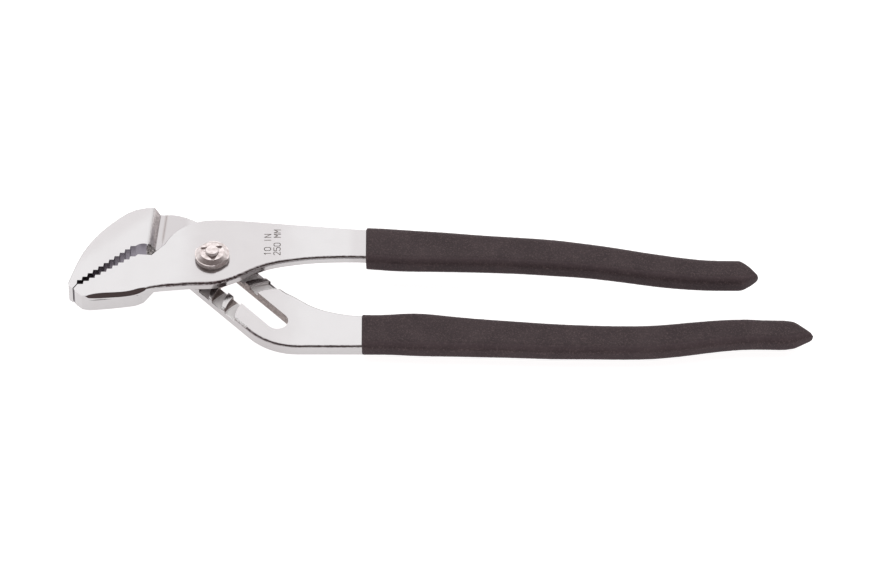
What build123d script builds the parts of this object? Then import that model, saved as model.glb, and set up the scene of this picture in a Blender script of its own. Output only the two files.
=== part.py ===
from build123d import *
import math
import os

os.makedirs("parts", exist_ok=True)

# Tongue and groove pliers lying flat, 250 mm long overall.
# Origin: pivot axis, at the outer face of the pivot bolt's head.
# +X runs from the pivot along the handles, +Z from the bolt head to the nut.

# Heights above the bolt head's outer face
REAR_BOTTOM = 2.5
GROOVE_FLOOR = 4.9
REAR_FACE = 6.5
FRONT_BOTTOM = 6.6
SHOULDER = 7.0
TOP = 11.5
JAW_BOTTOM = 4.3

# Adjusting slot and grooves, measured along the slot from the pivot
SLOT_ANGLE = -47.5
SLOT_WIDTH = 7.2
PITCH = 6.5
POSITIONS = 6
SLOT_OVERRUN = 0.4
GROOVE_IN = 14.15
GROOVE_OUT = 18.1
RAIL_LEFT = 9.9
RAIL_RIGHT = 10.4
HEEL_CORNER = (19.47, -35.9)
HEEL_R = 22

# Front arm boss and the tongue below it
BOSS_R = 17.4
TONGUE_IN = 14.45
TONGUE_OUT = 17.8
TONGUE_BOTTOM = 5.1
TONGUE_HALF_ANGLE = 14

# Pivot hardware
JOURNAL_R = 3.5
JOURNAL_HOLE_R = 3.55
THREAD_R = 2.3
BOLT_TOP = 15.2
HEAD_R = 5.3
NECK_WIDTH = 7.0
NECK_LENGTH = 7.8
WASHER_R = 5.7
WASHER_BOTTOM = 11.55
WASHER_TOP = 12.15
NUT_R = 5.8
NUT_RIM_TOP = 13.3
NUT_TOP = 14.4
NUT_FLAT = 5.07
NUT_FLAT_ANGLE = 37.2
STAKE_DEPTH = 0.6

# Teeth: first root, step from root to root, number of roots
REAR_TEETH = (-45.0, -10.4, 1.74, 1.56, 11)
FRONT_TEETH = (-43.0, -12.2, 1.90, 1.40, 10)

# Edge rounding
EDGE_R = 0.7
LOWER_EDGE_R = 0.9
UNDER_CHAMFER = 2.2
JAW_EDGE_R = 1.1
JAW_BEVEL = 1.25

# Dipped grips
GRIP_WALL = 1.4
GRIP_UNDER = 0.9
GRIP_R = 2.7
TIP_R = 2.9
LIP_R = 0.6


def along_slot(u, v=0):
    """Point u along the slot from the pivot, v to its left side (towards -X -Y)."""
    a = math.radians(SLOT_ANGLE)
    return (u * math.cos(a) + v * math.sin(a), u * math.sin(a) - v * math.cos(a))


def polar(radius, degrees):
    a = math.radians(degrees)
    return (radius * math.cos(a), radius * math.sin(a))


def slab(sketch, bottom, top):
    return extrude(Pos(0, 0, bottom) * sketch, amount=top - bottom)


def top_edges(solid, z, keep):
    """Edges lying in the plane at height z whose middle passes the keep test."""
    edges = ShapeList()
    for e in solid.edges():
        flat = abs(e.bounding_box().min.Z - z) < 0.01 and abs(e.bounding_box().max.Z - z) < 0.01
        if flat and keep(e @ 0.5):
            edges.append(e)
    return edges


def rear_mouth():
    """Toothed edge of the rear arm's jaw, from its tip to the throat."""
    x0, y0, dx, dy, count = REAR_TEETH
    points = [(-46.4, -14.1), (-45.1, -12.0)]
    for i in range(count):
        points.append((x0 + i * dx, y0 + i * dy))
        if i < count - 1:
            points.append((x0 + (i + 1) * dx - 0.2, y0 + i * dy))
    return points


def front_mouth():
    """Toothed edge of the front arm's jaw, from its tip to the throat."""
    x0, y0, dx, dy, count = FRONT_TEETH
    points = [(-46.1, -14.3), (-44.8, -12.2)]
    for i in range(count):
        points.append((x0 + i * dx, y0 + i * dy))
        if i < count - 1:
            points.append((x0 + i * dx + 0.2, y0 + (i + 1) * dy))
    points.append((-25.0, 1.4))
    points.append((-20.9, 1.1))
    return points


def front_outline():
    """Plan of the whole front arm: lower jaw, boss, neck and tang."""
    with BuildLine() as line:
        Polyline(*front_mouth(), polar(BOSS_R, 158))
        boss = CenterArc((0, 0), BOSS_R, 158, -65)
        Spline(
            boss @ 1, (8, 17.2), (20, 16.0), (35, 14.5), (50, 13.0), (80, 10.4),
            (113, 7.2), (130, 4.4), (147, 0.9), (164, -2.0), (177, -3.2),
            tangents=[boss % 1, (1, 0)],
        )
        Line((177, -3.2), (177, -9.2))
        Spline(
            (177, -9.2), (164, -10.0), (147, -8.2), (130, -5.2), (113, -3.5), (97, -2.3),
            (80, -1.6), (63, -0.9), (51, 0.0), (41, 0.0), (32, -0.6), (25.5, -1.6),
            (17, -4.0), (8.3, -9.0), (1.5, -11.7), (-6, -12.1), (-14, -12.8), (-21, -14.0),
            (-26, -16.1), (-33, -17.2), (-41, -18.0),
        )
        Polyline((-41, -18.0), (-43.3, -17.5), (-45.3, -15.6), (-46.1, -14.3))
    return make_face(line.line)


def front_jaw_outline():
    """Plan of the thick part of the front arm's jaw."""
    with BuildLine() as line:
        Polyline(*front_mouth(), (-18.9, -8.3), (-23.2, -14.8), (-24.6, -15.6), (-26, -16.1))
        Spline((-26, -16.1), (-33, -17.2), (-41, -18.0))
        Polyline((-41, -18.0), (-43.3, -17.5), (-45.3, -15.6), (-46.1, -14.3))
    return make_face(line.line)


def jaw_bevel():
    """Cutter for the bevel along the front arm's jaw, running out at both ends."""
    path = Spline(
        (-20.6, -15.2, TOP), (-23.2, -15.1, TOP), (-26, -16.1, TOP),
        (-33, -17.2, TOP), (-38.5, -17.75, TOP), (-42.4, -19.3, TOP),
    )
    across = Plane(origin=path @ 0, x_dir=(0, 0, 1), z_dir=path % 0)
    inner = (0.5, JAW_BEVEL + 0.5)
    section = make_face(Polyline(inner, (-2 - JAW_BEVEL, -2), (0.5, -2), inner))
    return sweep(across * section, path)


def front_arm():
    plate = slab(front_outline(), FRONT_BOTTOM, TOP)
    plate = fillet(top_edges(plate, TOP, lambda p: p.Y > 2 and -20 < p.X < 176), EDGE_R)
    plate = fillet(top_edges(plate, TOP, lambda p: p.Y < 1 and 0 < p.X < 176), LOWER_EDGE_R)
    under = top_edges(plate, FRONT_BOTTOM, lambda p: p.Y < 5 and 0 < p.X < 176)
    plate = chamfer(under, UNDER_CHAMFER)
    jaw = slab(front_jaw_outline(), JAW_BOTTOM, TOP - 2)
    jaw = fillet(top_edges(jaw, JAW_BOTTOM, lambda p: p.Y < -14.5), EDGE_R)
    start = 180 + SLOT_ANGLE - TONGUE_HALF_ANGLE
    with BuildLine() as line:
        inner = CenterArc((0, 0), TONGUE_IN, start, 2 * TONGUE_HALF_ANGLE)
        outer = CenterArc((0, 0), TONGUE_OUT, start, 2 * TONGUE_HALF_ANGLE)
        Line(inner @ 0, outer @ 0)
        Line(inner @ 1, outer @ 1)
    tongue = slab(make_face(line.line), TONGUE_BOTTOM, FRONT_BOTTOM + 1)
    arm = plate + jaw + tongue - jaw_bevel()
    arm -= Pos(0, 0, (TOP + FRONT_BOTTOM) / 2) * Cylinder(JOURNAL_HOLE_R, TOP - FRONT_BOTTOM + 2)
    return arm


def rear_outline():
    """Plan of the rear arm's plate: joint, slotted rails and tang."""
    with BuildLine() as line:
        start = along_slot(-15.2, RAIL_LEFT)
        FilletPolyline(start, HEEL_CORNER, (46, HEEL_CORNER[1]), radius=HEEL_R)
        Spline(
            (46, HEEL_CORNER[1]), (63, -35.9), (80, -36.2), (97, -36.8), (113, -37.4),
            (130, -37.7), (147, -37.3), (164, -35.0), (177, -33.4), (192, -32.9),
            tangents=[(1, 0), (1, 0)],
        )
        Line((192, -32.9), (192, -26.3))
        right = Line(along_slot(18, -RAIL_RIGHT), along_slot(9, -RAIL_RIGHT))
        Spline(
            (192, -26.3), (177, -24.6), (164, -25.6), (147, -27.4), (130, -27.3), (113, -26.4),
            (97, -25.0), (80, -23.2), (63, -22.2), (51, -21.9), (44.5, -21.1), (39, -19.7),
            (33, -16.9), (27.5, -12.9), right @ 0,
            tangents=[(-1, 0.05), right % 0],
        )
        Spline(
            right @ 1, (9.5, 11.2), (-4.5, 20.7), (-9.5, 23.3), (-13.5, 24.5), (-18, 24.5),
            tangents=[right % 1, (-1, 0)],
        )
        Polyline((-18, 24.5), (-22, 23.4), (-22, 8), start)
    return make_face(line.line)


def rear_jaw_outline():
    """Plan of the thick part of the rear arm's jaw, with the throat pocket."""
    with BuildLine() as line:
        Polyline(*rear_mouth(), (-25.9, 5.2))
        ThreePointArc((-25.9, 5.2), (-23.9, 6.3), (-21.7, 6.0))
        Polyline((-21.7, 6.0), (-17.7, 6.0), (-16.1, 23.3))
        Spline(
            (-16.1, 23.3), (-22, 23.4), (-27, 22.1), (-32.3, 18.2), (-38.5, 11.3),
            (-43, 4.0), (-46.2, -4.3), (-48.1, -10.8),
        )
        Polyline((-48.1, -10.8), (-47.8, -12.9), (-46.4, -14.1))
    return make_face(line.line)


def step_cutter():
    """Space above the rear arm's joint: a sloped wall, rounded at its top, down to the shoulder."""
    wall = Plane(origin=(-20.95, 16, 0), x_dir=(0.996, -0.087, 0), z_dir=(-0.087, -0.996, 0))
    with BuildLine() as line:
        ThreePointArc((-0.944, TOP), (-0.139, TOP - 0.227), (0.43, TOP - 0.842))
        Polyline(
            (0.43, TOP - 0.842), (2.3, SHOULDER), (9, SHOULDER), (9, TOP + 1),
            (-1.1, TOP + 1), (-0.944, TOP),
        )
    return extrude(wall * make_face(line.line), amount=14, both=True)


def groove_cutter(index):
    """Arc groove concentric with one of the pivot positions."""
    x, y = along_slot(index * PITCH)
    start = 180 + SLOT_ANGLE - 90
    with BuildLine() as line:
        inner = CenterArc((x, y), GROOVE_IN, start, 150)
        outer = CenterArc((x, y), GROOVE_OUT, start, 150)
        Line(inner @ 0, outer @ 0)
        Line(inner @ 1, outer @ 1)
    return slab(make_face(line.line), GROOVE_FLOOR, SHOULDER + 1)


def rear_arm():
    plate = slab(rear_outline(), REAR_BOTTOM, REAR_FACE)
    plate = fillet(top_edges(plate, REAR_FACE, lambda p: -30 < p.Y < -20 and 60 < p.X < 191), EDGE_R)
    plate = fillet(top_edges(plate, REAR_FACE, lambda p: p.Y < -30 or p.Y < -10 and p.X < 5), LOWER_EDGE_R)
    jaw = slab(rear_jaw_outline(), JAW_BOTTOM, TOP)
    jaw = fillet(top_edges(jaw, TOP, lambda p: p.Y > 8 and p.X < -23), JAW_EDGE_R)
    jaw -= step_cutter()
    arm = plate + jaw
    for i in range(POSITIONS):
        arm -= groove_cutter(i)
    start = along_slot(-SLOT_OVERRUN)
    end = along_slot((POSITIONS - 1) * PITCH + SLOT_OVERRUN)
    slot = SlotCenterToCenter(math.dist(start, end), SLOT_WIDTH, rotation=SLOT_ANGLE)
    middle = ((start[0] + end[0]) / 2, (start[1] + end[1]) / 2)
    arm -= slab(Pos(*middle) * slot, REAR_BOTTOM - 1, REAR_FACE + 1)
    arm -= Pos(-20.3, 5.5, 6) * Cylinder(1.7, 14)
    return arm


def pivot_bolt():
    head = Pos(0, 0, REAR_BOTTOM / 2) * Cylinder(HEAD_R, REAR_BOTTOM)
    head = fillet(top_edges(head, 0, lambda p: True), 1.2)
    neck = slab(SlotOverall(NECK_LENGTH, NECK_WIDTH, rotation=SLOT_ANGLE), 1, REAR_FACE)
    journal = Pos(0, 0, (2 + WASHER_BOTTOM) / 2) * Cylinder(JOURNAL_R, WASHER_BOTTOM - 2)
    thread = Pos(0, 0, (2 + BOLT_TOP) / 2) * Cylinder(THREAD_R, BOLT_TOP - 2)
    thread = fillet(top_edges(thread, BOLT_TOP, lambda p: True), 0.55)
    return head + neck + journal + thread


def washer():
    ring = slab(Circle(WASHER_R) - Circle(THREAD_R), WASHER_BOTTOM, WASHER_TOP)
    return ring


def pivot_nut():
    rim = Pos(0, 0, (WASHER_TOP + NUT_RIM_TOP) / 2) * Cylinder(NUT_R, NUT_RIM_TOP - WASHER_TOP)
    cone_h = NUT_TOP - NUT_RIM_TOP
    crown = Pos(0, 0, NUT_RIM_TOP + cone_h / 2) * Cone(NUT_R - 0.3, 4.0, cone_h)
    nut = rim + crown
    for side in (90, -90):
        x, y = polar(NUT_FLAT + 2, NUT_FLAT_ANGLE + side)
        nut -= Pos(x, y, NUT_RIM_TOP) * Rot(0, 0, NUT_FLAT_ANGLE) * Box(14, 4, 5)
    stake = slab(RegularPolygon(4.6, 3, rotation=NUT_FLAT_ANGLE), NUT_TOP - STAKE_DEPTH, NUT_TOP + 1)
    stake = fillet(stake.edges().filter_by(Axis.Z), 0.5)
    nut -= stake
    nut -= Pos(0, 0, 13) * Cylinder(THREAD_R, 6)
    return nut


def grip(outline, bottom, top, arm):
    """Dipped sleeve over a handle, rounded all round, with a softer lip at its mouth."""
    sleeve = slab(outline, bottom, top)
    mouth_x = sleeve.bounding_box().min.X
    rims = top_edges(sleeve, top, lambda p: p.X > mouth_x + 1)
    rims += top_edges(sleeve, bottom, lambda p: p.X > mouth_x + 1)
    sleeve = fillet(rims, GRIP_R)
    lip = [f for f in sleeve.faces() if f.bounding_box().max.X < mouth_x + 0.01]
    sleeve = fillet(lip[0].edges(), LIP_R)
    return sleeve - arm


def nose(x, top, bottom, reach):
    """Tapered end of a grip: two large arcs running into a small one at the tip."""
    half = (top - bottom) / 2
    middle = (top + bottom) / 2
    length = reach - TIP_R - x
    radius = (length**2 + half**2 - TIP_R**2) / (2 * (half - TIP_R))
    turn = math.degrees(math.atan2(radius - half, length))
    CenterArc((x, top - radius), radius, 90, turn - 90)
    CenterArc((x + length, middle), TIP_R, turn, -2 * turn)
    CenterArc((x, bottom + radius), radius, -turn, turn - 90)


def front_grip(arm):
    with BuildLine() as line:
        Line((51.6, -1.8), (51.6, 13.9))
        Spline(
            (51.6, 13.9), (63, 13.1), (80, 11.6), (97, 9.9), (113, 8.5), (130, 5.8),
            (147, 2.2), (164, -0.7), (177, -1.25),
            tangents=[(1, -0.02), (1, 0)],
        )
        nose(177, -1.25, -11.75, 183.3)
        Spline(
            (177, -11.75), (164, -11.5), (147, -9.6), (130, -6.7),
            (113, -4.8), (97, -3.7), (80, -3.2), (63, -2.8), (51.6, -1.8),
            tangents=[(-1, 0), (-1, 0.1)],
        )
    return grip(make_face(line.line), FRONT_BOTTOM - GRIP_UNDER, TOP + GRIP_WALL, arm)


def rear_grip(arm):
    with BuildLine() as line:
        Line((50.4, -36.4), (50.4, -21.2))
        Spline(
            (50.4, -21.2), (57, -21.2), (67, -20.6), (80, -21.9), (97, -23.8), (113, -25.2),
            (130, -26.1), (147, -26.1), (164, -24.2), (180, -23.4), (190, -23.75),
            tangents=[(1, 0), (1, 0)],
        )
        nose(190, -23.75, -34.3, 201.1)
        Spline(
            (190, -34.3), (180, -34.2), (164, -36.1), (147, -38.4), (130, -38.6),
            (113, -38.4), (97, -37.8), (80, -37.3), (65, -36.8), (50.4, -36.4),
            tangents=[(-1, 0), (-1, 0)],
        )
    return grip(make_face(line.line), REAR_BOTTOM - GRIP_WALL, REAR_FACE + GRIP_WALL, arm)


front = front_arm()
rear = rear_arm()
export_step(front, "parts/front_arm.step")
export_step(rear, "parts/rear_arm.step")
export_step(pivot_bolt(), "parts/pivot_bolt.step")
export_step(washer(), "parts/pivot_washer.step")
export_step(pivot_nut(), "parts/pivot_nut.step")
export_step(front_grip(front), "parts/front_grip.step")
export_step(rear_grip(rear), "parts/rear_grip.step")
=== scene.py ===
import math

import bmesh
import bpy
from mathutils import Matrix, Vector, noise
from mathutils.bvhtree import BVHTree


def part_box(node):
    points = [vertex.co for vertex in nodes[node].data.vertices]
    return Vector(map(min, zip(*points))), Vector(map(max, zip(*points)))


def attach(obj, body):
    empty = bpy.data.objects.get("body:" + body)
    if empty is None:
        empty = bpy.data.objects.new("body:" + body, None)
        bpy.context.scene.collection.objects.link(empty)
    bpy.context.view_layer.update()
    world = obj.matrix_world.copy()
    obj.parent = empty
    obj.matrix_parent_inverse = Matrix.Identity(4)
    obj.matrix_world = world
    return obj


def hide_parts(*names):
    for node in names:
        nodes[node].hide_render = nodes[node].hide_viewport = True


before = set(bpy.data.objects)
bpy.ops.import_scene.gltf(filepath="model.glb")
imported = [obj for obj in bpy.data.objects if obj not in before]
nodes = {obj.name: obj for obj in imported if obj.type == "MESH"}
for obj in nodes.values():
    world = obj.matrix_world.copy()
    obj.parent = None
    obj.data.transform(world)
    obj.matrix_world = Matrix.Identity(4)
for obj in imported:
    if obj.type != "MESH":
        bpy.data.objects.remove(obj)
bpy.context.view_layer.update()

MM = 0.001

# ---------------------------------------------------------------- camera

# The view: nearly parallel, from the -Y side, this far above the table
VIEW_ELEVATION = math.radians(47.4)
VIEW_WIDTH = 292.34 * MM
VIEW_DISTANCE = 2.2
SENSOR = 36.0
# Where the pivot axis crosses the front arm's face, from the view's centre, in widths
PIVOT_AT = (-0.25609, 0.03759)
FACE_HEIGHT = 11.5 * MM


def point_camera():
    """Long-lens camera looking down on the pliers as they lie, with no shift."""
    back = Vector((0.0, -math.cos(VIEW_ELEVATION), math.sin(VIEW_ELEVATION)))
    right = Vector((1.0, 0.0, 0.0))
    up = back.cross(right)
    pivot = Vector((0.0, 0.0, FACE_HEIGHT))
    middle = pivot - (right * PIVOT_AT[0] + up * PIVOT_AT[1]) * VIEW_WIDTH
    data = bpy.data.cameras.new("camera")
    data.sensor_width = SENSOR
    data.lens = SENSOR * VIEW_DISTANCE / VIEW_WIDTH
    camera = bpy.data.objects.new("camera", data)
    bpy.context.scene.collection.objects.link(camera)
    camera.location = middle + back * VIEW_DISTANCE
    camera.rotation_euler = (math.pi / 2 - VIEW_ELEVATION, 0.0, 0.0)
    bpy.context.scene.camera = camera


# ---------------------------------------------------------------- node helpers


def feed(tree, socket, value):
    """Links a socket to another one, or sets it to a number or a colour."""
    if isinstance(value, bpy.types.NodeSocket):
        tree.links.new(value, socket)
    elif isinstance(value, tuple):
        socket.default_value = (*value, 1.0)
    else:
        socket.default_value = value


def math_node(tree, operation, *values, clamp=False):
    node = tree.nodes.new("ShaderNodeMath")
    node.operation = operation
    node.use_clamp = clamp
    for socket, value in zip(node.inputs, values):
        feed(tree, socket, value)
    return node.outputs[0]


def product(tree, first, *others):
    for other in others:
        first = math_node(tree, "MULTIPLY", first, other)
    return first


def largest(tree, first, *others):
    for other in others:
        first = math_node(tree, "MAXIMUM", first, other)
    return first


def smooth_range(tree, value, low, high, out_low=0.0, out_high=1.0):
    """Eases from out_low to out_high as value goes from low to high."""
    node = tree.nodes.new("ShaderNodeMapRange")
    node.interpolation_type = "SMOOTHSTEP"
    node.inputs["From Min"].default_value = low
    node.inputs["From Max"].default_value = high
    node.inputs["To Min"].default_value = out_low
    node.inputs["To Max"].default_value = out_high
    tree.links.new(value, node.inputs["Value"])
    return node.outputs["Result"]


def stripe(tree, value, centre, half, soft):
    """1 within half of centre, falling to 0 over soft."""
    away = math_node(tree, "ABSOLUTE", math_node(tree, "SUBTRACT", value, centre))
    return smooth_range(tree, away, half + soft, half)


def plan_distance(tree, x, y, centre):
    """How far (x, y) is from a fixed centre."""
    squares = [
        math_node(tree, "POWER", math_node(tree, "SUBTRACT", value, middle), 2.0)
        for value, middle in zip((x, y), centre)
    ]
    return math_node(tree, "SQRT", math_node(tree, "ADD", *squares))


def mix_colour(tree, factor, a, b):
    node = tree.nodes.new("ShaderNodeMix")
    node.data_type = "RGBA"
    factor_in, a_in, b_in = node.inputs[0], node.inputs[6], node.inputs[7]
    feed(tree, factor_in, factor)
    feed(tree, a_in, a)
    feed(tree, b_in, b)
    return node.outputs[2]


def noise_node(tree, vector, scale, detail, roughness):
    node = tree.nodes.new("ShaderNodeTexNoise")
    node.inputs["Scale"].default_value = scale
    node.inputs["Detail"].default_value = detail
    node.inputs["Roughness"].default_value = roughness
    tree.links.new(vector, node.inputs["Vector"])
    return node.outputs["Fac"]


def bumps(tree, *layers):
    """Bumps laid over each other, each given as height, strength and depth in mm."""
    normal = None
    for height, strength, depth in layers:
        node = tree.nodes.new("ShaderNodeBump")
        node.inputs["Strength"].default_value = strength
        node.inputs["Distance"].default_value = depth * MM
        tree.links.new(height, node.inputs["Height"])
        if normal is not None:
            tree.links.new(normal, node.inputs["Normal"])
        normal = node.outputs["Normal"]
    return normal


def split(tree, vector):
    node = tree.nodes.new("ShaderNodeSeparateXYZ")
    tree.links.new(vector, node.inputs[0])
    return tuple(node.outputs)


class Place:
    """Sockets for where a surface is, in its piece's frame: the point in metres, x, y and z in mm,
    and the way the surface faces."""

    def __init__(self, tree):
        self.tree = tree
        coordinates = tree.nodes.new("ShaderNodeTexCoord")
        self.point = coordinates.outputs["Object"]
        self.x, self.y, self.z = (product(tree, v, 1 / MM) for v in split(tree, self.point))
        self.facing_x, self.facing_y, self.facing_z = split(tree, coordinates.outputs["Normal"])

    def along(self, x, y):
        """How far the place is along the direction (x, y) in plan, in mm."""
        parts = (product(self.tree, value, share) for value, share in ((self.x, x), (self.y, y)))
        return math_node(self.tree, "ADD", *parts)

    def upright(self, start, full):
        """How upright the surface is: from 0 where its normal's height is start to 1 at full."""
        steepness = math_node(self.tree, "ABSOLUTE", self.facing_z)
        return smooth_range(self.tree, steepness, start, full)


def new_material(name):
    material = bpy.data.materials.new(name)
    material.use_nodes = True
    tree = material.node_tree
    return material, tree, tree.nodes["Principled BSDF"]


# ---------------------------------------------------------------- plated steel

# Heights and plan places on the rear arm, in mm
REAR_FACE = 6.5
LEDGE = 7.0
THROAT_HOLE = (-20.3, 5.5)
# How far the step leans off the Y direction, and how steeply the rows of teeth climb along X
STEP_LEAN = 0.087
JAW_RISE = 0.89
# The slot's direction, its grooves' spacing, and the grooves from the pivot whose crescent
# patches of wear and painted shade show left of it
SLOT_ANGLE = math.radians(-47.5)
GROOVE_PITCH = 6.5
SHOWING_GROOVES = (3, 4, 5)

# Colours, as pairs where noise or a slow change mixes two
# Plain plate, and the painted shade of the dimmed zones, which also gives the blotches' tone
PLAIN_PLATE = (0.530, 0.516, 0.521)
PLATE_SHADE_AND_BLOTCH = (0.484, 0.463, 0.468)
LEDGE_COLOUR = (0.420, 0.395, 0.402)
STAIN = (0.29, 0.255, 0.245)
# Flaking plate on the trimmed near edge, with a painted dark reflection
THIN_PLATE_AND_REFLECTION = (0.15, 0.110, 0.115)
FORGED_GRAIN = ((0.34, 0.300, 0.303), (0.76, 0.70, 0.70))
# Tooth faces, darker towards the tip
TOOTH_TONE = ((0.100, 0.082, 0.096), (0.26, 0.243, 0.28))
# Rough wear and painted shade on the walls and crescent patches left of the slot
WEAR_AND_SHADE_GRAIN = ((0.20, 0.16, 0.15), (0.42, 0.36, 0.345))
# Groove beds painted bright: a painted reflection
GROOVE_BED_REFLECTION = ((0.84, 0.82, 0.82), (0.96, 0.95, 0.95))
PITTED = ((0.06, 0.05, 0.05), (0.70, 0.66, 0.65))


def forged_step(tree, at):
    """The sloped step behind the rear arm's jaw, left as forged."""
    return product(
        tree,
        smooth_range(tree, at.facing_x, 0.30, 0.60),
        smooth_range(tree, at.z, LEDGE + 0.02, LEDGE + 0.20),
        smooth_range(tree, at.y, 4.0, 5.5),
        stripe(tree, at.along(1.0, -STEP_LEAN), -20.5, 0.8, 1.3),
    )


def ledge_stain(tree, at):
    """A stain along the ledge, a little way from the step's foot."""
    return product(
        tree,
        stripe(tree, at.along(1.0, -STEP_LEAN), -18.15, 0.12, 0.60),
        smooth_range(tree, at.y, 10.0, 14.0),
        smooth_range(tree, at.z, LEDGE + 0.3, LEDGE + 0.1),
    )


def ledge_top(tree, at):
    """The ledge between the step and the front arm's boss."""
    return product(
        tree,
        smooth_range(tree, at.z, LEDGE + 0.20, LEDGE + 0.05),
        smooth_range(tree, at.x, -7, -10),
        smooth_range(tree, at.y, 2, 6),
        smooth_range(tree, at.facing_z, 0.80, 0.95),
    )


def tooth_faces(tree, at):
    """The upright faces of both rows of teeth."""
    return product(
        tree,
        at.upright(0.55, 0.35),
        stripe(tree, at.along(-JAW_RISE, 1.0), 29.3, 3.4, 0.5),
        smooth_range(tree, at.x, -19.5, -20.5),
        smooth_range(tree, at.x, -46.3, -45.9),
    )


def slot_and_grooves(tree, at):
    """Two masks: the walls and crescent patches left of the slot, with wear and painted shade,
    and the groove beds, painted bright as a painted reflection.
    """
    cos, sin = math.cos(SLOT_ANGLE), math.sin(SLOT_ANGLE)
    way = at.along(cos, sin)
    side = at.along(-sin, cos)
    across = math_node(tree, "ABSOLUTE", side)
    left = smooth_range(tree, side, 4.0, 3.8)
    right = smooth_range(tree, side, 3.8, 4.0)
    upright = at.upright(0.55, 0.35)
    # As wide as the rails over the grooves, and only the slot's own walls past the last one
    limit = smooth_range(tree, way, 28.0, 29.0, 9.75, 4.4)
    beside = product(
        tree,
        smooth_range(tree, at.z, REAR_FACE, REAR_FACE - 0.06),
        smooth_range(tree, at.z, 2.6, 2.8),
        smooth_range(tree, math_node(tree, "SUBTRACT", across, limit), 0.1, -0.1),
        smooth_range(tree, way, -19.0, -18.0),
        smooth_range(tree, way, 37.2, 36.4),
        smooth_range(tree, at.facing_z, -0.7, -0.5),
    )
    floors = product(tree, smooth_range(tree, upright, 0.6, 0.4), beside)
    # Right of the slot the feet of the walls are painted as bright as the floors,
    # a painted reflection
    feet = product(
        tree, upright, beside, right, smooth_range(tree, at.z, 5.85, 5.45, 0.35, 1.0),
    )
    inner = math_node(tree, "MULTIPLY_ADD", across, 0.34, 14.75)
    arcs = []
    for groove in SHOWING_GROOVES:
        reach = plan_distance(tree, way, across, (groove * GROOVE_PITCH, 0.0))
        arcs.append(product(
            tree,
            smooth_range(tree, math_node(tree, "SUBTRACT", reach, inner), 0.0, 0.15),
            smooth_range(tree, reach, 18.4, 18.2),
        ))
    # Crescent patches of painted shade, with rough wear, on the floors left of the slot
    crescent_shade = product(tree, largest(tree, *arcs), floors, left)
    wear_and_shade = largest(tree, product(tree, upright, beside, left), crescent_shade)
    # The other floors are painted bright: a painted reflection
    floor_reflection = math_node(tree, "SUBTRACT", floors, crescent_shade, clamp=True)
    return wear_and_shade, largest(tree, floor_reflection, feet)


def throat_burr(tree, at):
    """The rough hole in the throat."""
    return product(
        tree,
        smooth_range(tree, plan_distance(tree, at.x, at.y, THROAT_HOLE), 2.5, 1.8),
        smooth_range(tree, at.z, 4.4, 5.0),
        smooth_range(tree, at.z, 11.0, 10.0),
    )


def hammered_edge_and_reflection(tree, at):
    """The rounded near edge, where the flash was trimmed, with a painted dark reflection on it."""
    return product(
        tree,
        stripe(tree, at.facing_z, 0.62, 0.34, 0.05),
        smooth_range(tree, at.facing_y, -0.10, -0.25),
        smooth_range(tree, at.x, -22, -13),
        smooth_range(tree, at.z, 5.4, 5.6),
        smooth_range(tree, at.x, 27, 4, 0.40, 1.0),
    )


def painted_shade_and_blotches(tree, at, blotch):
    """Painted shade about the pivot, at the neck's end and round the upper jaw's back, with soft
    random blotches of tone over it.
    """
    pivot = product(
        tree,
        smooth_range(tree, at.x, -13, -3),
        smooth_range(tree, at.x, 34, 18),
    )
    neck_end = product(
        tree,
        smooth_range(tree, at.x, 44.5, 48.5, 0.0, 0.85),
        smooth_range(tree, at.y, -8, -7),
    )
    jaw_back = product(
        tree,
        smooth_range(tree, at.along(-JAW_RISE, 1.0), 34, 42, 0.0, 0.9),
        smooth_range(tree, at.x, -20, -22),
    )
    uneven = product(tree, math_node(tree, "SUBTRACT", blotch, 0.5), 0.5)
    return math_node(tree, "ADD", largest(tree, pivot, neck_end, jaw_back), uneven, clamp=True)


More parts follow.
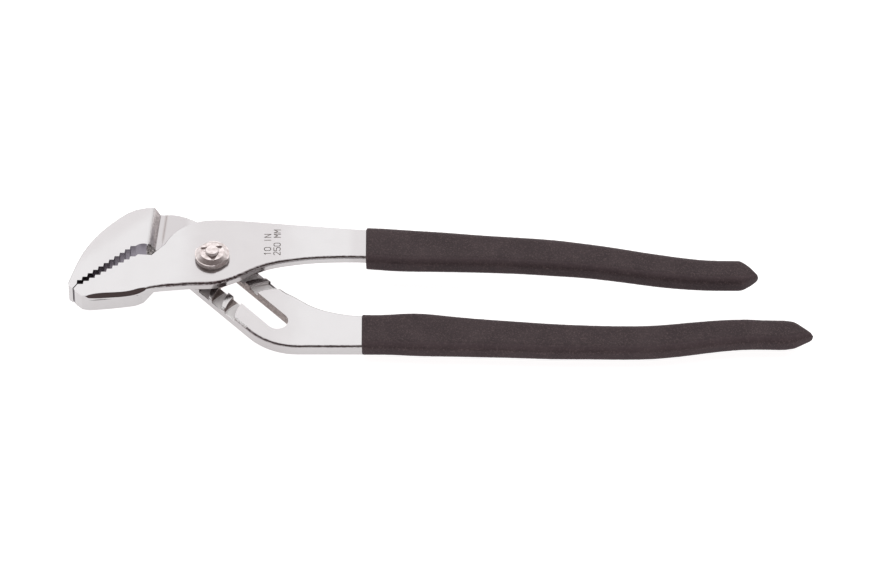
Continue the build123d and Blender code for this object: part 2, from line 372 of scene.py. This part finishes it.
def plated_steel():
    """Bright plate over a forging, darker and rougher where the plate didn't take or wore through,
    with painted shade in places and groove beds painted bright as a reflection.
    """
    material, tree, shader = new_material("plated_steel")
    at = Place(tree)
    waves = noise_node(tree, at.point, 45, 1.0, 0.4)
    grain = noise_node(tree, at.point, 3200, 3.0, 0.6)
    blotch = noise_node(tree, at.point, 160, 2.0, 0.5)
    sand = noise_node(tree, at.point, 1400, 4.0, 0.7)
    flakes = noise_node(tree, at.point, 1300, 3.0, 0.6)
    dents = noise_node(tree, at.point, 750, 2.0, 0.6)

    forged = forged_step(tree, at)
    teeth = tooth_faces(tree, at)
    wear_and_shade, bed_reflection = slot_and_grooves(tree, at)
    burr = throat_burr(tree, at)
    edge = hammered_edge_and_reflection(tree, at)
    coarse_sand = smooth_range(tree, sand, 0.35, 0.65)
    toward_throat = smooth_range(tree, at.x, -42, -24)

    # Painted shade about the pivot, the neck's end and the jaw's back, with random blotches
    colour = mix_colour(tree, painted_shade_and_blotches(tree, at, blotch), PLAIN_PLATE, PLATE_SHADE_AND_BLOTCH)
    # Near edge: flaking thin plate with a painted dark reflection over it
    thin = product(tree, edge, smooth_range(tree, flakes, 0.44, 0.58, 0.45, 0.95))
    pits = smooth_range(tree, sand, 0.40, 0.62)
    patches = smooth_range(tree, blotch, 0.35, 0.65)
    for mask, over in (
        (product(tree, ledge_top(tree, at), 0.75), LEDGE_COLOUR),
        (forged, mix_colour(tree, coarse_sand, *FORGED_GRAIN)),
        (product(tree, ledge_stain(tree, at), 0.55), STAIN),
        (thin, THIN_PLATE_AND_REFLECTION),
        (teeth, mix_colour(tree, toward_throat, *TOOTH_TONE)),
        # Left of the slot: rough wear with painted shade
        (wear_and_shade, mix_colour(tree, coarse_sand, *WEAR_AND_SHADE_GRAIN)),
        # Groove beds painted bright: a painted reflection
        (bed_reflection, mix_colour(tree, patches, *GROOVE_BED_REFLECTION)),
        (burr, mix_colour(tree, pits, *PITTED)),
    ):
        colour = mix_colour(tree, mask, colour, over)
    tree.links.new(colour, shader.inputs["Base Color"])

    # Each kind of surface: its mask, how far it is from bare metal, and its roughness
    kinds = (
        (forged, 0.45, 0.55),
        (teeth, 0.0, 0.30),
        (wear_and_shade, 0.55, 0.50),
        (bed_reflection, 0.88, 0.42),
        (burr, 0.70, 0.65),
    )
    matt = largest(tree, *(product(tree, mask, share) for mask, share, _ in kinds))
    tree.links.new(math_node(tree, "SUBTRACT", 1.0, matt), shader.inputs["Metallic"])
    satin = smooth_range(tree, blotch, 0.3, 0.75, 0.14, 0.19)
    dull = largest(tree, satin, *(product(tree, mask, rough) for mask, _, rough in kinds))
    tree.links.new(dull, shader.inputs["Roughness"])
    rough = largest(tree, forged, product(tree, wear_and_shade, 0.5), burr)
    normal = bumps(
        tree,
        (waves, 0.10, 0.30),
        (grain, 0.08, 0.01),
        (product(tree, dents, edge), 0.8, 0.5),
        (product(tree, sand, rough), 0.9, 0.12),
    )
    tree.links.new(normal, shader.inputs["Normal"])
    return material


# ---------------------------------------------------------------- other materials

NICKEL = ((0.77, 0.70, 0.69), (0.56, 0.49, 0.475))
VINYL = ((0.057, 0.039, 0.043), (0.077, 0.054, 0.058))
VINYL_SPECK = (0.160, 0.116, 0.116)
# Painted highlight on the near edge and painted shade on the front sides
VINYL_HIGHLIGHT = (0.20, 0.155, 0.168)
VINYL_SIDE_SHADE = (0.030, 0.019, 0.024)
VINYL_SHINE = 0.16
MARK = ((0.10, 0.075, 0.065), (0.30, 0.245, 0.225))


def nickel():
    """Pinkish nickel plate on the turned pivot hardware."""
    material, tree, shader = new_material("nickel_hardware")
    at = Place(tree)
    blotch = noise_node(tree, at.point, 700, 3.0, 0.6)
    grain = noise_node(tree, at.point, 4200, 3.0, 0.6)
    colour = mix_colour(tree, smooth_range(tree, blotch, 0.35, 0.7), *NICKEL)
    tree.links.new(colour, shader.inputs["Base Color"])
    metal = math_node(tree, "SUBTRACT", 0.85, product(tree, at.upright(0.45, 0.25), 0.6))
    tree.links.new(metal, shader.inputs["Metallic"])
    tree.links.new(smooth_range(tree, blotch, 0.3, 0.75, 0.32, 0.46), shader.inputs["Roughness"])
    normal = bumps(tree, (blotch, 0.25, 0.08), (grain, 0.15, 0.01))
    tree.links.new(normal, shader.inputs["Normal"])
    return material


def dipped_vinyl():
    """Dark brown-black dipped vinyl with a fine leathery grain and faint lighter specks."""
    material, tree, shader = new_material("dipped_vinyl")
    at = Place(tree)
    specks = noise_node(tree, at.point, 1900, 4.0, 0.7)
    patches = noise_node(tree, at.point, 120, 3.0, 0.55)
    cells = tree.nodes.new("ShaderNodeTexVoronoi")
    cells.inputs["Scale"].default_value = 1100
    tree.links.new(at.point, cells.inputs["Vector"])

    # Painted highlight along the rounded near edge, painted shade on the sides facing the front
    near = smooth_range(tree, at.facing_y, -0.1, -0.4)
    painted_highlight = product(tree, stripe(tree, at.facing_z, 0.86, 0.05, 0.42), near, 0.26)
    sides = product(tree, smooth_range(tree, at.facing_z, 0.35, -0.20, 0.0, 0.46), near)
    colour = mix_colour(tree, smooth_range(tree, patches, 0.3, 0.75), *VINYL)
    speckled = smooth_range(tree, specks, 0.48, 0.70, 0.0, 0.85)
    for mask, over in ((speckled, VINYL_SPECK), (painted_highlight, VINYL_HIGHLIGHT), (sides, VINYL_SIDE_SHADE)):
        colour = mix_colour(tree, mask, colour, over)
    tree.links.new(colour, shader.inputs["Base Color"])
    tree.links.new(smooth_range(tree, specks, 0.3, 0.7, 0.55, 0.70), shader.inputs["Roughness"])
    shader.inputs["Specular IOR Level"].default_value = VINYL_SHINE
    normal = bumps(tree, (cells.outputs["Distance"], 0.35, 0.10), (specks, 0.45, 0.06))
    tree.links.new(normal, shader.inputs["Normal"])
    return material


def etched_mark():
    """Brown etched marking, unevenly worn."""
    material, tree, shader = new_material("etched_mark")
    wear = noise_node(tree, Place(tree).point, 2500, 3.0, 0.6)
    colour = mix_colour(tree, smooth_range(tree, wear, 0.35, 0.7), *MARK)
    tree.links.new(colour, shader.inputs["Base Color"])
    shader.inputs["Roughness"].default_value = 0.6
    return material


# ---------------------------------------------------------------- surroundings

# The tent's dark mouth, how bright its open sides are and its rim round the mouth
MOUTH = (0.110, 0.082, 0.080)
OPEN_SIDE = 0.8
MOUTH_RIM = 0.6
TABLE_SIZE = 4.0
TABLE_CENTRE = (0.08, 0.0, -0.05 * MM)
TABLE_PAPER = ((0.50, 0.497, 0.497), (0.54, 0.537, 0.537))
TABLE_LIGHT = (1.0, 0.99, 0.99)
TABLE_GLOW = 0.92


def tent():
    """A soft white tent, dark only in a narrow mouth above the front of the table."""
    world = bpy.data.worlds.new("tent")
    bpy.context.scene.world = world
    world.use_nodes = True
    tree = world.node_tree
    tree.nodes.clear()
    x, y, z = split(tree, tree.nodes.new("ShaderNodeTexCoord").outputs["Generated"])
    # From the front, over the top and down to the back
    toward_back = math_node(tree, "ADD", product(tree, y, 0.94), product(tree, z, 0.34))
    side = math_node(tree, "ABSOLUTE", x)
    front = smooth_range(tree, y, -0.25, -0.45)
    corner = product(tree, smooth_range(tree, side, 0.66, 0.86), front)
    sill = product(tree, smooth_range(tree, z, 0.42, 0.24), front)
    lit = largest(
        tree,
        smooth_range(tree, toward_back, 0.22, 0.52),
        product(tree, smooth_range(tree, side, 0.90, 1.0), OPEN_SIDE),
        product(tree, largest(tree, corner, sill), MOUTH_RIM),
    )
    # Brighter to the back, with the table's far edge a duller band low down all round
    white = product(
        tree,
        smooth_range(tree, toward_back, 0.60, 0.98, 1.30, 1.60),
        smooth_range(tree, z, 0.02, 0.22, 0.50, 1.0),
    )
    bright = tree.nodes.new("ShaderNodeCombineColor")
    for socket in bright.inputs:
        tree.links.new(white, socket)
    background = tree.nodes.new("ShaderNodeBackground")
    background.inputs["Strength"].default_value = 1.0
    colour = mix_colour(tree, lit, MOUTH, bright.outputs[0])
    tree.links.new(colour, background.inputs["Color"])
    output = tree.nodes.new("ShaderNodeOutputWorld")
    tree.links.new(background.outputs[0], output.inputs[0])


def table():
    """White paper lit from below, which leaves hardly any shadow on it."""
    bpy.ops.mesh.primitive_plane_add(size=TABLE_SIZE, location=TABLE_CENTRE)
    floor = bpy.context.object
    floor.name = "floor"
    material, tree, shader = new_material("floor_paper")
    fibre = noise_node(tree, Place(tree).point, 900, 3.0, 0.6)
    tree.links.new(mix_colour(tree, fibre, *TABLE_PAPER), shader.inputs["Base Color"])
    shader.inputs["Roughness"].default_value = 0.9
    shader.inputs["Emission Color"].default_value = (*TABLE_LIGHT, 1.0)
    shader.inputs["Emission Strength"].default_value = TABLE_GLOW
    floor.data.materials.append(material)


# ---------------------------------------------------------------- pieces

# Edges turning by more than this, in degrees, stay sharp
SHARP_TURN = 28


def dress(node, material):
    """Gives a CAD node its material and smooth shading broken at its real edges."""
    mesh = nodes[node].data
    mesh.materials.clear()
    mesh.materials.append(material)
    mesh.shade_smooth()
    shape = bmesh.new()
    shape.from_mesh(mesh)
    limit = math.radians(SHARP_TURN)
    sharp = [not (e.is_manifold and e.calc_face_angle(0.0) < limit) for e in shape.edges]
    shape.free()
    mesh.attributes.new("sharp_edge", "BOOLEAN", "EDGE")
    mesh.attributes["sharp_edge"].data.foreach_set("value", sharp)


def new_piece(mesh, material):
    """An object for a new mesh, named like it."""
    mesh.materials.append(material)
    obj = bpy.data.objects.new(mesh.name, mesh)
    bpy.context.scene.collection.objects.link(obj)
    return obj


# ---------------------------------------------------------------- dipped grips

# Rays start this far outside a grip
REACH = 60 * MM
# Points round a ring, and the step from ring to ring
AROUND = 120
STATION = 0.5 * MM
# The rolled lip at the mouth, the gap behind it to the first section, and the place just outside
# the mouth where the steel is felt for
LIP = 0.6 * MM
LIP_RINGS = 5
BEHIND_LIP = 0.05 * MM
BEFORE_MOUTH = 0.1 * MM
# The rounded end
TIP = 5.0 * MM
TIP_RINGS = 14
# The blunt beak: its length, how far it is drawn in, how that grows towards the tip, how much less
# in height, and how low its point is in half heights
BEAK = 6.5 * MM
BEAK_PULL = 0.55
BEAK_CURVE = 1.3
BEAK_FLATTER = 0.6
BEAK_DROP = 0.5
# How the skin is sunk below the CAD surface: noise scale and depth
DIP_WAVES = (70, 0.16 * MM)
LEATHER = (900, 0.075 * MM)
PORES = (2100, 0.05 * MM)
PORES_SHIFT = Vector((3, 5, 7))


def surface(node):
    """A CAD node's surface for casting rays at, in the row frame."""
    obj = nodes[node]
    points = [obj.matrix_world @ v.co for v in obj.data.vertices]
    return BVHTree.FromPolygons(points, [tuple(p.vertices) for p in obj.data.polygons])


def cast(tree, origin, direction):
    """Where a ray from outside, coming in against direction, first meets the surface."""
    direction = direction.normalized()
    return tree.ray_cast(origin + direction * REACH, -direction)[:2]


def grip_rings(node, arm):
    """Rings of points over a dipped grip, from its mouth on the arm to its tip."""
    skin = surface(node)
    steel_inside = surface(arm)
    low, high = (Vector(c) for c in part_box(node))
    middle_z = (low.z + high.z) / 2
    half_z = (high.z - low.z) / 2
    turns = [2 * math.pi * j / AROUND for j in range(AROUND)]

    def section(x):
        level = Vector((x, (low.y + high.y) / 2, middle_z))
        up = cast(skin, level, Vector((0, 1, 0)))[0]
        down = cast(skin, level, Vector((0, -1, 0)))[0]
        return Vector((x, (up.y + down.y) / 2, middle_z)), (up.y - down.y) / 2

    def spoke(half_y, turn, lean=0.0, ahead=0.0):
        flat = math.cos(lean)
        y = half_y * math.cos(turn) * flat
        z = half_z * math.sin(turn) * flat
        return Vector((ahead * math.sin(lean), y, z))

    first = low.x + LIP + BEHIND_LIP
    last = high.x - TIP
    count = int((last - first) / STATION)
    body = []
    for i in range(count + 1):
        centre, half_y = section(first + (last - first) * i / count)
        body.append([cast(skin, centre, spoke(half_y, t)) for t in turns])

    # The mouth starts on the steel and rolls outward over the lip
    centre, half_y = section(first)
    just_outside = Vector((low.x - BEFORE_MOUTH, centre.y, centre.z))
    inner = [cast(steel_inside, just_outside, spoke(half_y, t))[0] for t in turns]
    rings = [[Vector((low.x, at.y, at.z)) for at in inner]]
    for k in range(LIP_RINGS, 0, -1):
        bend = math.pi / 2 * k / LIP_RINGS
        x = low.x + LIP * (1 - math.sin(bend))
        ring = []
        for at, normal in body[0]:
            inward = Vector((0, -normal.y, -normal.z)).normalized() * LIP * (1 - math.cos(bend))
            ring.append(Vector((x, at.y + inward.y, at.z + inward.z)))
        rings.append(ring)
    rings.extend([[at for at, normal in ring] for ring in body])

    centre, half_y = section(last)
    for k in range(1, TIP_RINGS):
        lean = math.pi / 2 * k / TIP_RINGS
        rings.append([cast(skin, centre, spoke(half_y, t, lean, TIP))[0] for t in turns])
    tip = cast(skin, centre, Vector((1, 0, 0)))[0]
    for ring in rings:
        for at in ring:
            draw_in(at, tip, half_z)
    return rings, tip


def draw_in(at, tip, half_z):
    """Draws a point near the end of a grip in to a blunt beak, low on its outer side."""
    near = 1 - (tip.x - at.x) / BEAK
    if near <= 0:
        return
    pull = BEAK_PULL * near**BEAK_CURVE
    at.y += (tip.y - half_z * BEAK_DROP - at.y) * pull
    at.z += (tip.z - at.z) * pull * BEAK_FLATTER


def sink(at):
    """How far the skin lies below the CAD surface: dip waves, leathery cells and pores."""
    depth = 0.0
    for (scale, deep), shift in ((DIP_WAVES, Vector()), (LEATHER, Vector()), (PORES, PORES_SHIFT)):
        depth += deep * (noise.noise(at * scale + shift) * 0.5 + 0.5)
    return depth


def dipped_grip(node, arm, body, material):
    """The vinyl sleeve's own skin, with its rolled lip, dip waves and grain in the mesh."""
    rings, tip = grip_rings(node, arm)
    points = [at for ring in rings for at in ring] + [tip]
    faces = []
    for i in range(len(rings) - 1):
        for j in range(AROUND):
            k = (j + 1) % AROUND
            here, ahead = i * AROUND, (i + 1) * AROUND
            faces.append((here + j, here + k, ahead + k, ahead + j))
    end = (len(rings) - 1) * AROUND
    for j in range(AROUND):
        faces.append((end + j, end + (j + 1) % AROUND, len(points) - 1))
    mesh = bpy.data.meshes.new(node + "_skin")
    mesh.from_pydata([tuple(at) for at in points], [], faces)
    shape = bmesh.new()
    shape.from_mesh(mesh)
    bmesh.ops.recalc_face_normals(shape, faces=shape.faces)
    shape.normal_update()
    # The mouth's own ring stays on the steel
    moves = [v.normal * -sink(v.co) for v in shape.verts if v.index >= AROUND]
    for v, move in zip(list(shape.verts)[AROUND:], moves):
        v.co += move
    shape.to_mesh(mesh)
    shape.free()
    mesh.shade_smooth()
    obj = new_piece(mesh, material)
    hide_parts(node)
    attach(obj, body)


# ---------------------------------------------------------------- size mark

# Strokes of the size mark's characters on a grid 4 wide and 6 high
GRID_WIDE = 4
GRID_HIGH = 6
STROKES = {
    "0": [[(1, 0), (3, 0), (4, 1), (4, 5), (3, 6), (1, 6), (0, 5), (0, 1), (1, 0)]],
    "1": [[(0.6, 4.8), (2, 6), (2, 0)]],
    "2": [[(0, 5), (1, 6), (3, 6), (4, 5), (4, 4), (0, 0), (4, 0)]],
    "5": [[(4, 6), (0, 6), (0, 3.4), (3, 3.6), (4, 2.6), (4, 1), (3, 0), (1, 0), (0, 1)]],
    "I": [[(2, 0), (2, 6)]],
    "M": [[(0, 0), (0, 6), (2, 2.6), (4, 6), (4, 0)]],
    "N": [[(0, 0), (0, 6), (4, 0), (4, 6)]],
    " ": [],
}
CAP = 2.15 * MM
PITCH = 2.02 * MM
LETTER = 1.38 * MM
STROKE = 0.27 * MM
STROKE_SINK = 0.01 * MM
STROKE_RISE = 0.012 * MM
STROKE_END = 6
# Each line's words and the x of its foot, both starting at the same y
MARK_LINES = (("10 IN", 19.6 * MM), ("250 MM", 22.8 * MM))
MARK_START = 1.1 * MM


def size_mark(material):
    """Size mark etched across the front arm's neck, reading towards +Y."""
    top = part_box("front_arm")[1][2]
    shape = bmesh.new()
    for words, foot in MARK_LINES:
        for place, letter in enumerate(words):
            along = MARK_START + place * PITCH
            for path in STROKES[letter]:
                dots = [
                    Vector((foot - v / GRID_HIGH * CAP, along + u / GRID_WIDE * LETTER, 0))
                    for u, v in path
                ]
                for a, b in zip(dots, dots[1:]):
                    lay_stroke(shape, a, b, top)
    mesh = bpy.data.meshes.new("size_mark")
    shape.to_mesh(mesh)
    shape.free()
    obj = new_piece(mesh, material)
    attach(obj, "front_arm_body")


def lay_stroke(shape, a, b, top):
    """One stroke from a to b as a thin bar with round ends."""
    ahead = (b - a).normalized()
    side = Vector((-ahead.y, ahead.x, 0))
    rim = []
    for centre, outward in ((a, -1), (b, 1)):
        for k in range(STROKE_END + 1):
            turn = math.pi * (k / STROKE_END - 0.5)
            arm = ahead * math.cos(turn) + side * math.sin(turn)
            rim.append(centre + arm * outward * STROKE / 2)
    lower = [shape.verts.new((at.x, at.y, top - STROKE_SINK)) for at in rim]
    upper = [shape.verts.new((at.x, at.y, top + STROKE_RISE)) for at in rim]
    shape.faces.new(upper)
    for k in range(len(rim)):
        n = (k + 1) % len(rim)
        shape.faces.new((lower[k], lower[n], upper[n], upper[k]))


point_camera()
tent()
table()
steel = plated_steel()
hardware = nickel()
vinyl = dipped_vinyl()
for name in ("front_arm", "rear_arm"):
    dress(name, steel)
for name in ("pivot_bolt", "pivot_nut", "pivot_washer"):
    dress(name, hardware)
dipped_grip("front_grip", "front_arm", "front_arm_body", vinyl)
dipped_grip("rear_grip", "rear_arm", "rear_arm_body", vinyl)
size_mark(etched_mark())

bpy.context.scene.view_settings.view_transform = "Standard"
